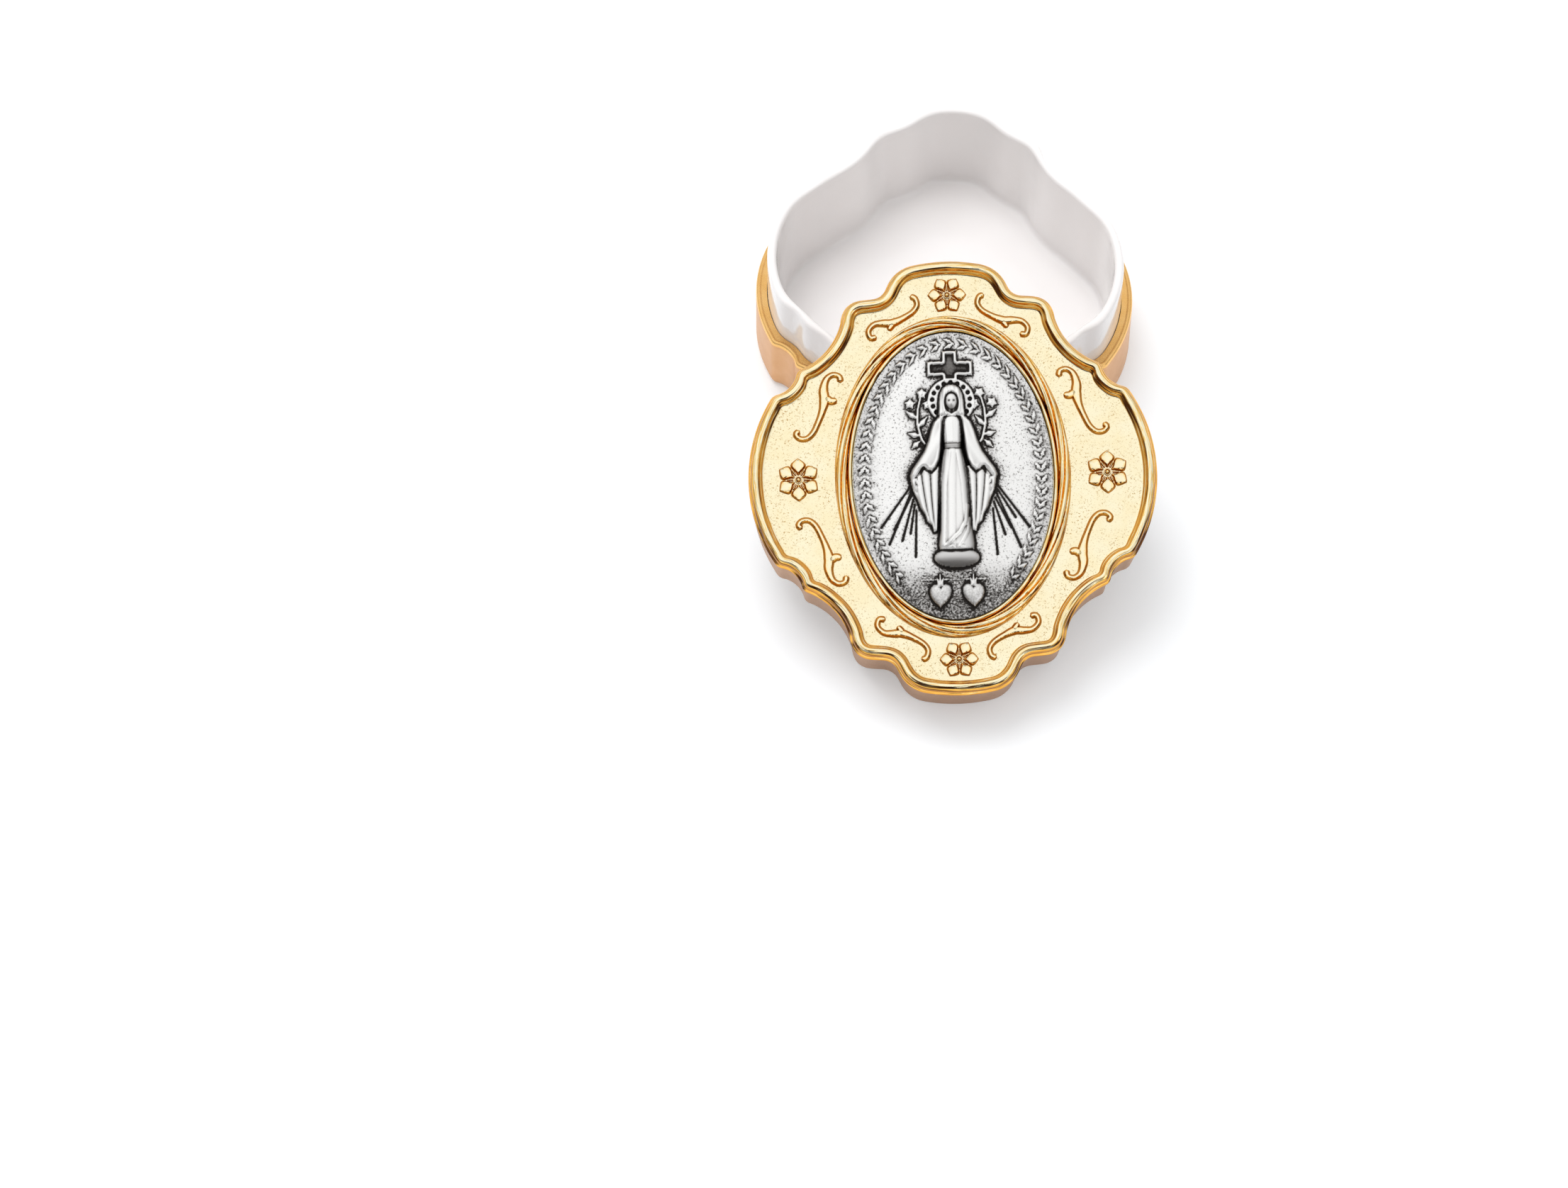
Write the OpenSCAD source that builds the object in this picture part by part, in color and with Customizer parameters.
// Keepsake box: a scalloped metal box with a white glazed dish inside, and a lift-off lid
// that carries an oval medallion. The box stands on z = 0 with its long way along Y, and
// the lid leans against its front: front edge on the table, skirt on the dish's rim.

/* [Outline] */
// Length of the lid over its moulded edge
lid_length = 69.3; // [62:0.1:80]
// Width of the lid over its moulded edge
lid_width = 63.7; // [58:0.1:72]
// Side lobe's corner, in from the lid's side
lobe_in = 4.2; // [3.4:0.1:5]
// Side lobe's corner, down from the lid's end
lobe_down = 20.9; // [19.5:0.1:22]
// Corner between notch and cove, in from the lid's side
notch_in = 8; // [7:0.1:9]
// Corner between notch and cove, down from the lid's end
notch_down = 17.1; // [16:0.1:18]
// Shoulder's corner, in from the lid's side
shoulder_in = 15.4; // [14.5:0.1:16.5]
// Shoulder's corner, down from the lid's end
shoulder_down = 6.2; // [5.5:0.1:7]
// Inner corner beside the end lobe, in from the lid's side
nick_in = 21.6; // [20.8:0.1:22.2]
// Inner corner beside the end lobe, down from the lid's end
nick_down = 5.7; // [5:0.1:6.4]
// End lobe's corner, in from the lid's side
end_in = 23.7; // [23:0.1:24.5]
// End lobe's corner, down from the lid's end
end_down = 1.3; // [0.8:0.1:2]
// How deep the notch bows in
notch_depth = 1; // [0.4:0.1:1.3]
// How deep the cove bows in
cove_depth = 2.2; // [1:0.1:2.8]
// Rounding of the two sharp corners
corner_round = 0.8; // [0.4:0.1:1.2]
// Rounding of the shoulder
shoulder_round = 3.2; // [1.5:0.1:3.6]
// Rounding of the inner corner
nick_round = 1.5; // [0.8:0.1:1.8]
// Rounding of the end lobe's corner
end_round = 2.6; // [1.5:0.1:3]

/* [Box] */
// Height of the gold ledge that the lid sits on
ledge_z = 11.2; // [8:0.1:16]
// How far the box wall lies inside the lid's edge
body_inset = 1.3; // [1:0.1:1.8]
// Thickness of the gold floor
shell_floor = 1.5; // [1:0.1:3]
// Rounding of the box's bottom edge
foot_round = 1.1; // [0.5:0.1:1.6]
// Size of the bead along the ledge's outer edge
lip_bead = 0.5; // [0.3:0.05:0.7]

/* [Dish] */
// How far the white collar stands proud of the ledge
collar_height = 9.1; // [6:0.1:12]
// Thickness of the dish's floor
dish_floor = 1.9; // [1.2:0.1:4]
// Thickness of the collar at its rim
collar_wall = 1.4; // [1.1:0.1:2]
// How much thicker the dish's wall is at the floor
dish_taper = 0.7; // [0.2:0.1:1.2]
// Cove between the dish's wall and its floor
dish_cove = 1.1; // [0.5:0.1:1.8]
// Bevel along the dish's bottom edge
dish_foot = 0.7; // [0.3:0.1:1.2]
// Gap between the dish and its pocket in the box
dish_fit = 0.08; // [0.04:0.01:0.2]
// How far the dish's outline is softened along its corners
face_soft = 1.9; // [1:0.1:2.4]
// How far the inside of its wall is softened beyond that
wall_soft = 2.6; // [1:0.1:3.2]

/* [Lid] */
// Thickness of the lid's plate
plate = 1.3; // [0.8:0.1:2]
// How far the field lies below the top of the moulding
field_drop = 1.1; // [0.7:0.1:1.6]
// Width of the moulding along the lid's edge
moulding_w = 2.3; // [1.9:0.1:3]
// How far the skirt lies inside the lid's edge
skirt_inset = 0.5; // [0.3:0.1:0.9]
// Thickness of the skirt
skirt_wall = 2.2; // [1.4:0.1:2.4]
// Gap between the skirt and the collar
lid_fit = 0.4; // [0.3:0.05:0.8]
// Air between the plate and the rim when the lid is on
rim_air = 0.3; // [0.2:0.1:1]

/* [Oval frame and medallion] */
// Length of the oval frame
oval_length = 51.4; // [48:0.1:53]
// Width of the oval frame
oval_width = 36.8; // [34:0.1:38]
// Width of the frame's band
band_w = 2.8; // [2:0.1:3.4]
// Height of the frame above the field
band_h = 1.3; // [0.8:0.1:1.8]
// Strands that wind around the frame
strands = 3; // [2:1:4]
// Turns that each strand makes along the frame
strand_turns = 7; // [3:1:10]
// Depth of the valley between the strands
strand_depth = 0.14; // [0.05:0.01:0.2]
// Gap between the medallion and the frame
medal_fit = 0.05; // [0.02:0.01:0.15]
// Height of the medallion's edge above the field
medal_edge = 0.6; // [0.3:0.1:0.9]
// How much higher the medallion's middle is
medal_dome = 0.7; // [0.2:0.1:1.2]

/* [Figure on the medallion] */
// Height of the robed figure above the medallion's dome
figure_h = 1.3; // [0.6:0.1:1.6]
// Radius of the halo's disc
halo_r = 3.7; // [3.2:0.1:4]
// Height of the halo and the cross above the dome
badge_h = 0.35; // [0.2:0.05:0.6]
// Width of the outlined cross's line
cross_line = 0.55; // [0.4:0.05:0.7]

/* [Relief] */
// Centre of each end flower, in from the lid's end
end_flower_in = 5.6; // [5.2:0.1:6]
// Distance across an end flower's tips
end_flower_d = 6.1; // [4:0.1:6.4]
// Centre of each side flower, in from the lid's side
side_flower_in = 7.8; // [7:0.1:8.4]
// Distance across a side flower's tips
side_flower_d = 7.1; // [5:0.1:7.6]
// Height of a flower above the field
flower_h = 0.5; // [0.2:0.05:0.8]
// Half the width of a scroll's band
scroll_half = 0.5; // [0.3:0.05:0.6]
// Height of a scroll above the field
scroll_h = 0.5; // [0.2:0.05:0.8]

/* [Leaning lid] */
// How far the lid's middle stands out in front of the box's end
lean_reach = 10.3; // [8:0.1:16]
// How far the lid stands to one side
lean_side = 0.3; // [-3:0.1:3]
// Way that the lid leans, turned from the box's long way
lean_turn = 4.9; // [-10:0.1:10]
// How far the lid is spun in its own plane
lid_spin = 1.6; // [-6:0.1:6]
// Air between the leaning lid and the rim that it rests on
lean_gap = 0.3; // [0.2:0.05:0.6]

/* [Hidden] */

gold = [0.93, 0.72, 0.38];
rose_gold = [0.86, 0.62, 0.42];
glaze = [0.93, 0.92, 0.92];
silver = [0.72, 0.72, 0.73];

half_l = lid_length / 2;
half_w = lid_width / 2;
collar_inset = skirt_inset + skirt_wall + lid_fit;
collar_inner = collar_inset + collar_wall;
// from here inwards, walls follow the dish's softer outline
soft_from = collar_inset - lid_fit;
collar_top = ledge_z + collar_height;
dish_z = shell_floor + dish_floor;
plate_under = field_drop + plate;
lid_h = plate_under + rim_air + collar_height;
// bevel along the skirt's lower edge
skirt_soft = 0.3;
// how deep the relief's solids reach into the field
sink = 0.3;

// ---- outline: one quarter from the side's middle to the end's middle, then mirrored ----

// points along each lobe, notch, cove and corner
lobe_n = 6;
notch_n = 3;
cove_n = 4;
run_n = 1;
end_n = 3;
sharp_n = 2;
soft_n = 3;
// neighbours that give a point its outward direction
reach = 3;

corners = [
    [half_w - lobe_in, half_l - lobe_down],
    [half_w - notch_in, half_l - notch_down],
    [half_w - shoulder_in, half_l - shoulder_down],
    [half_w - nick_in, half_l - nick_down],
    [half_w - end_in, half_l - end_down]
];
cuts = [corner_round, corner_round, shoulder_round, nick_round, end_round];
bows = [-notch_depth, -cove_depth, 0, 0, end_down];
edge_n = [notch_n, cove_n, run_n, run_n, end_n];
corner_n = [sharp_n, sharp_n, soft_n, soft_n, soft_n];

// point at share t of the arc from p to q that bows out by s, or in where s is negative
function arc_point(p, q, s, t) =
    abs(s) < 0.001 ? p + (q - p) * t :
    let (l = norm(q - p),
         r = l * l / (8 * s) + s / 2,
         n = [q.y - p.y, p.x - q.x] / l,
         c = (p + q) / 2 - n * (r - s),
         a = atan2(n.y, n.x) + asin(l / (2 * r)) * (2 * t - 1))
    c + r * [cos(a), sin(a)];

// edge number i: its two ends and its bow; number 0 is the side lobe
function edge(i) =
    i == 0 ? [[corners[0].x, -corners[0].y], corners[0], lobe_in] :
    i == 5 ? [corners[4], [-corners[4].x, corners[4].y], bows[4]] :
    [corners[i - 1], corners[i], bows[i - 1]];
function on_edge(i, t) = let (e = edge(i)) arc_point(e[0], e[1], e[2], t);
function edge_length(i) = let (e = edge(i)) norm(e[1] - e[0]);
// share of the edge that the rounding before or after it takes
function start_share(i) = cuts[i - 1] / edge_length(i);
function end_share(i) = 1 - cuts[i] / edge_length(i);

function bend(a, b, c, t) = (1 - t) * (1 - t) * a + 2 * t * (1 - t) * b + t * t * c;
function corner_points(i) =
    let (a = on_edge(i, end_share(i)), c = on_edge(i + 1, start_share(i + 1)))
    [for (k = [1 : corner_n[i]]) bend(a, corners[i], c, k / corner_n[i])];
function edge_points(i) =
    let (a = start_share(i), b = i < 5 ? end_share(i) : 0.5, n = edge_n[i - 1])
    [for (k = [1 : n]) on_edge(i, a + (b - a) * k / n)];

lobe_points = [for (k = [0 : lobe_n]) on_edge(0, 0.5 + (end_share(0) - 0.5) * k / lobe_n)];
quarter = concat(lobe_points,
    [for (i = [0 : 4]) each concat(corner_points(i), edge_points(i + 1))]);
last = len(quarter) - 1;
outline = concat(
    quarter,
    [for (i = [last - 1 : -1 : 0]) [-quarter[i].x, quarter[i].y]],
    [for (i = [1 : last]) -quarter[i]],
    [for (i = [last - 1 : -1 : 1]) [quarter[i].x, -quarter[i].y]]);
count = len(outline);

function outward(pts, i, k) =
    let (d = pts[(i + k) % count] - pts[(i + count - k) % count])
    [d.y, -d.x] / norm(d);
directions = [for (i = [0 : count - 1]) outward(outline, i, reach)];
// outline with its corners evened out over a distance r
function softened(pts, r) =
    let (share = [for (i = [0 : count - 1]) norm(pts[(i + 1) % count] - pts[(i + count - 1) % count])])
    [for (p = pts)
        let (w = [for (i = [0 : count - 1]) share[i] * exp(-pow(norm(pts[i] - p) / r, 2))],
             total = w * [for (v = w) 1])
        w * pts / total];
// the collar's face, and the inside of its wall, which is softer still
face = softened([for (i = [0 : count - 1]) outline[i] - collar_inset * directions[i]], face_soft);
face_directions = [for (i = [0 : count - 1]) outward(face, i, reach)];
inside = softened([for (i = [0 : count - 1]) face[i] - collar_wall * face_directions[i]], wall_soft);
inside_directions = [for (i = [0 : count - 1]) outward(inside, i, reach + 2)];
// the outline drawn in by d, at height z
function ring(z, d) = [for (i = [0 : count - 1])
    let (p = d < soft_from ? outline[i] - d * directions[i] :
             d < collar_inner ? face[i] - (d - collar_inset) * face_directions[i] :
             inside[i] - (d - collar_inner) * inside_directions[i])
    [p.x, p.y, z]];

// ---- solids made of stacked rings ----

// closed skin over rings of equal length, from a face that looks down to one that looks up
module skin(rings) {
    n = len(rings[0]);
    m = len(rings);
    sides = [for (i = [0 : m - 2], j = [0 : n - 1])
        let (k = (j + 1) % n) each [
            [i * n + j, (i + 1) * n + j, (i + 1) * n + k],
            [i * n + j, (i + 1) * n + k, i * n + k]]];
    low = [for (j = [0 : n - 1]) j];
    high = [for (j = [n - 1 : -1 : 0]) (m - 1) * n + j];
    polyhedron([for (r = rings) each r], concat(sides, [low, high]), convexity = 6);
}

// skin through profile points [height, inset from the lid's edge]
module scalloped(profile) {
    skin([for (p = profile) ring(p[0], p[1])]);
}

module box_shell() {
    b = body_inset;
    pocket = collar_inset - dish_fit;
    color(rose_gold) scalloped([
        [0, b + foot_round],
        [foot_round * 0.3, b + foot_round * 0.3],
        [foot_round, b],
        [ledge_z - lip_bead * 2, b],
        [ledge_z - lip_bead * 1.6, b + lip_bead * 0.4],
        [ledge_z - lip_bead * 1.1, b],
        [ledge_z - lip_bead * 0.4, b],
        [ledge_z, b + lip_bead * 0.6],
        [ledge_z - lip_bead * 0.3, b + lip_bead * 1.6],
        [ledge_z - lip_bead * 0.3, pocket],
        [shell_floor, pocket]
    ]);
}

module dish_liner() {
    c = collar_inset;
    w = collar_wall;
    floor_in = collar_inner + dish_taper;
    color(glaze) scalloped([
        [shell_floor, c + dish_foot],
        [shell_floor + dish_foot, c],
        [collar_top - w * 0.5, c],
        [collar_top - w * 0.14, c + w * 0.16],
        [collar_top, c + w * 0.5],
        [collar_top - w * 0.14, c + w * 0.84],
        [collar_top - w * 0.5, c + w],
        [dish_z + dish_cove, floor_in],
        [dish_z, floor_in + dish_cove]
    ]);
}

// ---- lid, in its own frame: z = 0 is the top of the moulding ----

module lid_plate() {
    s = skirt_inset;
    m = moulding_w;
    f = field_drop;
    scalloped([
        [-plate_under, s + skirt_wall],
        [-lid_h, s + skirt_wall],
        [-lid_h, s + skirt_soft],
        [-lid_h + skirt_soft, s],
        [-f * 1.9, s],
        [-f * 1.5, m * 0.04],
        [-f * 1.15, 0],
        [-f * 0.75, m * 0.06],
        [-f * 0.5, m * 0.2],
        [-f * 0.55, m * 0.29],
        [-f * 0.15, m * 0.38],
        [0, m * 0.52],
        [-f * 0.12, m * 0.68],
        [-f * 0.6, m * 0.86],
        [-f, m]
    ]);
}

// ring of n_ring sections around an ellipse; each section is a lobed half-round band
module oval_band() {
    n_ring = 84;
    n_sec = 7;
    mid_x = oval_width / 2 - band_w / 2;
    mid_y = oval_length / 2 - band_w / 2;
    sections = [for (i = [0 : n_ring - 1])
        let (a = 360 * i / n_ring,
             c = [mid_x * cos(a), mid_y * sin(a)],
             n = [mid_y * cos(a), mid_x * sin(a)] / norm([mid_y * cos(a), mid_x * sin(a)]))
        [for (k = [0 : n_sec - 1])
            let (t = 180 * k / (n_sec - 1),
                 dip = 0.5 - 0.5 * cos(strands * 2 * t + strand_turns * a),
                 r = 1 - strand_depth * dip * sin(t),
                 p = c + n * cos(t) * band_w / 2 * r)
            [p.x, p.y, k == 0 || k == n_sec - 1 ? -sink : (band_h + sink) * sin(t) * r - sink]]];
    faces = [for (i = [0 : n_ring - 1], k = [0 : n_sec - 1])
        let (a = i * n_sec, b = ((i + 1) % n_ring) * n_sec, l = (k + 1) % n_sec)
        each [[a + k, a + l, b + l], [a + k, b + l, b + k]]];
    translate([0, 0, -field_drop])
        polyhedron([for (s = sections) each s], faces, convexity = 6);
}

petals = 6;
// petal with a pointed tip, drawn for a flower of radius 1 and shrunk by share k
module petal_shape(r, k) {
    half = [[0.14, 0.03], [0.42, 0.14], [0.68, 0.26], [0.85, 0.18], [1, 0]];
    tip = [for (p = half) [0.6 + (p.x - 0.6) * k, p.y * k] * r];
    polygon(concat(tip, [for (i = [3 : -1 : 0]) [tip[i].x, -tip[i].y]]));
}
module flower(d) {
    r = d / 2;
    translate([0, 0, -field_drop - sink]) {
        for (i = [0 : petals - 1])
            rotate(360 / petals * i)
                hull() {
                    linear_extrude(flower_h * 0.5 + sink) petal_shape(r, 1);
                    linear_extrude(flower_h * 0.9 + sink) petal_shape(r, 0.6);
                }
        cylinder(h = flower_h + sink, r = r * 0.17, $fn = 16);
    }
}

// smooth point between q and r, with p and s as the points before and after
function curve(p, q, r, s, t) =
    0.5 * (2 * q + (r - p) * t + (2 * p - 5 * q + 4 * r - s) * t * t
    + (3 * q - p - 3 * r + s) * t * t * t);
function spine(pts, n) = concat(
    [for (i = [0 : len(pts) - 2], k = [0 : n - 1])
        curve(pts[max(i - 1, 0)], pts[i], pts[i + 1], pts[min(i + 2, len(pts) - 1)], k / n)],
    [pts[len(pts) - 1]]);

// raised band along a spine: widest in the middle, thin at the curls, round at both ends
module scroll(pts) {
    path = spine(pts, 2);
    m = len(path) - 1;
    sec = [[-1, 0], [-0.6, 0.85], [0.6, 0.85], [1, 0]];
    n = len(sec);
    rings = [for (i = [0 : m])
        let (d = path[min(i + 1, m)] - path[max(i - 1, 0)],
             side = [d.y, -d.x] / norm(d),
             w = scroll_half * (0.55 + 0.45 * pow(sin(180 * i / m), 2))
                 * (i == 0 || i == m ? 0.5 : 1))
        [for (s = sec) let (p = path[i] - side * s[0] * w)
            [p.x, p.y, s[1] * (scroll_h + sink) * (0.6 + 0.4 * w / scroll_half)]]];
    faces = [for (i = [0 : m - 1], k = [0 : n - 1])
        let (l = (k + 1) % n, a = i * n, b = (i + 1) * n)
        each [[a + k, a + l, b + l], [a + k, b + l, b + k]]];
    translate([0, 0, -field_drop - sink])
        polyhedron([for (r = rings) each r],
            concat(faces, [[for (k = [n - 1 : -1 : 0]) k], [for (k = [0 : n - 1]) m * n + k]]),
            convexity = 4);
}

// scroll beside an end flower and scroll beside a side flower, measured in from side and end
end_scroll = [[26.1, 5.8], [26.9, 6.1], [27.1, 7.1], [26.4, 8.2], [24.8, 9.2], [23.1, 9.9],
    [21.6, 9.9], [20.3, 10.1], [19.4, 11.1], [19.7, 12.2], [20.6, 12]];
side_scroll = [[14.7, 19.1], [14.5, 18.2], [13.5, 18.1], [12.5, 18.8], [12.1, 20.3],
    [12.3, 22], [11.9, 23.8], [11.1, 25.7], [10.3, 27.3], [9.3, 28.1], [8.3, 28],
    [7.7, 27.5], [8.2, 26.9]];
end_thorn = [[23.1, 9.9], [22.9, 10.6], [22.7, 11.1]];
side_thorn = [[12.4, 21.9], [13.3, 22.2], [14.1, 22.3]];
function from_edges(pts) = [for (p = pts) [half_w - p[0], half_l - p[1]]];

module relief() {
    for (s = [-1, 1]) {
        translate([0, s * (half_l - end_flower_in), 0]) flower(end_flower_d);
        translate([s * (half_w - side_flower_in), 0, 0]) rotate(90) flower(side_flower_d);
    }
    for (x = [0, 1], y = [0, 1])
        mirror([x, 0, 0]) mirror([0, y, 0]) {
            scroll(from_edges(end_scroll));
            scroll(from_edges(side_scroll));
            scroll(from_edges(end_thorn));
            scroll(from_edges(side_thorn));
        }
}

// ---- how the lid leans ----

// the skirt's lower edge, turned by spin and tilt with the lid's middle at the origin
function tilt_point(p, a) =
    let (u = p.x * cos(lid_spin) - p.y * sin(lid_spin),
         v = p.x * sin(lid_spin) + p.y * cos(lid_spin))
    [u, v * cos(a) - p.z * sin(a), v * sin(a) + p.z * cos(a)];
skirt_edge = concat(
    ring(-lid_h, skirt_inset + skirt_soft),
    ring(-lid_h, skirt_inset + skirt_wall));
function lid_lift(a) = -min([for (p = skirt_edge) tilt_point(p, a).z]);
lean_back = half_l + lean_reach;
function lean_point(p, a) =
    let (q = tilt_point(p, a) + [lean_side, -lean_back, lid_lift(a)])
    [q.x * cos(lean_turn) - q.y * sin(lean_turn), q.x * sin(lean_turn) + q.y * cos(lean_turn), q.z];

// distance from the middle to the collar's outer and inner face, by direction
function radii(d) = let (r = ring(0, d)) [for (i = [0 : last]) [atan2(r[i].y, r[i].x), norm(r[i])]];
collar_out = radii(collar_inset);
collar_in = radii(collar_inner);
function over_rim(p) =
    let (a = atan2(abs(p.y), abs(p.x)), r = norm([p.x, p.y]))
    r < lookup(a, collar_out) && r > lookup(a, collar_in);
function rim_clearance(a) =
    let (lift = lid_lift(a))
    min(concat([lid_length], [for (p = skirt_edge)
        let (q = tilt_point(p, a) + [lean_side, -lean_back, lift],
             w = [q.x * cos(lean_turn) - q.y * sin(lean_turn),
                  q.x * sin(lean_turn) + q.y * cos(lean_turn)])
        if (over_rim(w)) q.z - collar_top]));
// flattest lie at which the skirt still clears the rim by the gap
function settle(low, high, steps) =
    let (mid = (low + high) / 2)
    steps == 0 ? high :
    rim_clearance(mid) > lean_gap ? settle(low, mid, steps - 1) : settle(mid, high, steps - 1);
lean_tilt = settle(2, 60, 12);

module lean() {
    rotate([0, 0, lean_turn])
        translate([lean_side, -lean_back, lid_lift(lean_tilt)])
            rotate([lean_tilt, 0, 0])
                rotate([0, 0, lid_spin])
                    children();
}

module lid_shell() {
    color(gold) lean() union() {
        lid_plate();
        oval_band();
        relief();
    }
}

// ---- medallion, in the lid's frame: z = 0 is the field that it lies on ----

// domed oval plate inside the oval frame
module medal_plate() {
    n = 72;
    rx = oval_width / 2 - band_w - medal_fit;
    ry = oval_length / 2 - band_w - medal_fit;
    steps = [[0, 0], [medal_edge * 0.7, 0], [medal_edge, medal_edge * 0.3]];
    dome_n = 4;
    dome = [for (k = [1 : dome_n])
        let (t = 80 * k / dome_n) [medal_edge + medal_dome * sin(t),
            medal_edge * 0.3 + (rx - medal_edge * 0.3) * (1 - cos(t)) * 0.95]];
    skin([for (p = concat(steps, dome))
        [for (i = [0 : n - 1]) let (a = 360 * i / n)
            [(rx - p[1]) * cos(a), (ry - p[1]) * sin(a), p[0]]]]);
}

// the figure's main forms, as stations of [place along, middle, half the width, share of its height]
robe = [[-12, 0.1, 2.6, 0.7], [-9, 0.1, 2.6, 0.9], [-4, 0.1, 2.4, 1], [1, 0.1, 2.1, 0.95],
    [4.3, 0.1, 1.5, 0.85], [6.5, 0.1, 1.7, 0.9], [9, 0.1, 1.4, 0.8]];
mantle = [[-9, 2.9, 0.4, 0.2], [-7.2, 3.3, 1.1, 0.4], [-4.5, 3.9, 1.8, 0.5], [-1.2, 4.4, 2.5, 0.6],
    [0.6, 4.4, 2.5, 0.9], [2.6, 3.6, 2.1, 1], [5.2, 2.8, 1.3, 1], [7.8, 2.3, 1.1, 0.95],
    [9.4, 1.5, 0.8, 0.8]];
hand = [[-2.5, 5.9, 0.2, 0.4], [-1.2, 6.2, 0.5, 0.7], [0.4, 6, 0.7, 0.75]];
veil = [[8.4, 0, 2.3, 0.85], [10.4, 0, 2.1, 1], [12.3, 0, 1.9, 1], [13.5, 0, 1.4, 0.9],
    [14.3, 0, 0.6, 0.5]];
globe = [[-14.8, 0.15, 1, 0.2], [-14.3, 0.15, 2.5, 0.5], [-13.3, 0.15, 3.5, 0.7],
    [-12.3, 0.15, 2.6, 0.6]];
heart = [[-20.8, 2.5, 0.2, 0.1], [-20, 2.5, 1, 0.4], [-18.9, 2.5, 1.7, 0.45], [-18, 2.5, 1.6, 0.4],
    [-17.3, 2.5, 0.8, 0.25]];

// half-round slab at one station, up from the level of the medallion's edge
module slab(s) {
    thick = 0.3;
    rise = medal_dome * 0.9 + s[3] * figure_h;
    translate([s[1], s[0] + thick / 2, medal_edge])
        rotate([90, 0, 0])
            linear_extrude(thick)
                polygon([for (k = [0 : 6]) [s[2] * cos(30 * k), rise * sin(30 * k)]]);
}
module raised(stations) {
    for (i = [1 : len(stations) - 1])
        hull() {
            slab(stations[i - 1]);
            slab(stations[i]);
        }
}

// cross with a wide lower limb, drawn as an outline
module cross_shape() {
    middle = 17;
    translate([0, middle]) {
        square([7.1, 2.4], center = true);
        translate([0, 0.4]) square([2.3, 5], center = true);
    }
}

module figure() {
    head = [0, 11.7];
    badge_top = medal_edge + medal_dome + badge_h;
    raised(robe);
    raised(veil);
    raised(globe);
    for (x = [0, 1])
        mirror([x, 0, 0]) {
            raised(mantle);
            raised(hand);
            raised(heart);
        }
    translate(head) cylinder(h = badge_top, r = halo_r, $fn = 36);
    translate([0, 0, medal_edge * 0.5])
        linear_extrude(badge_top - medal_edge * 0.7)
            difference() {
                cross_shape();
                offset(delta = -cross_line) cross_shape();
            }
}

module medallion() {
    color(silver) lean() translate([0, 0, -field_drop]) union() {
        medal_plate();
        figure();
    }
}

box_shell();
dish_liner();
lid_shell();
medallion();
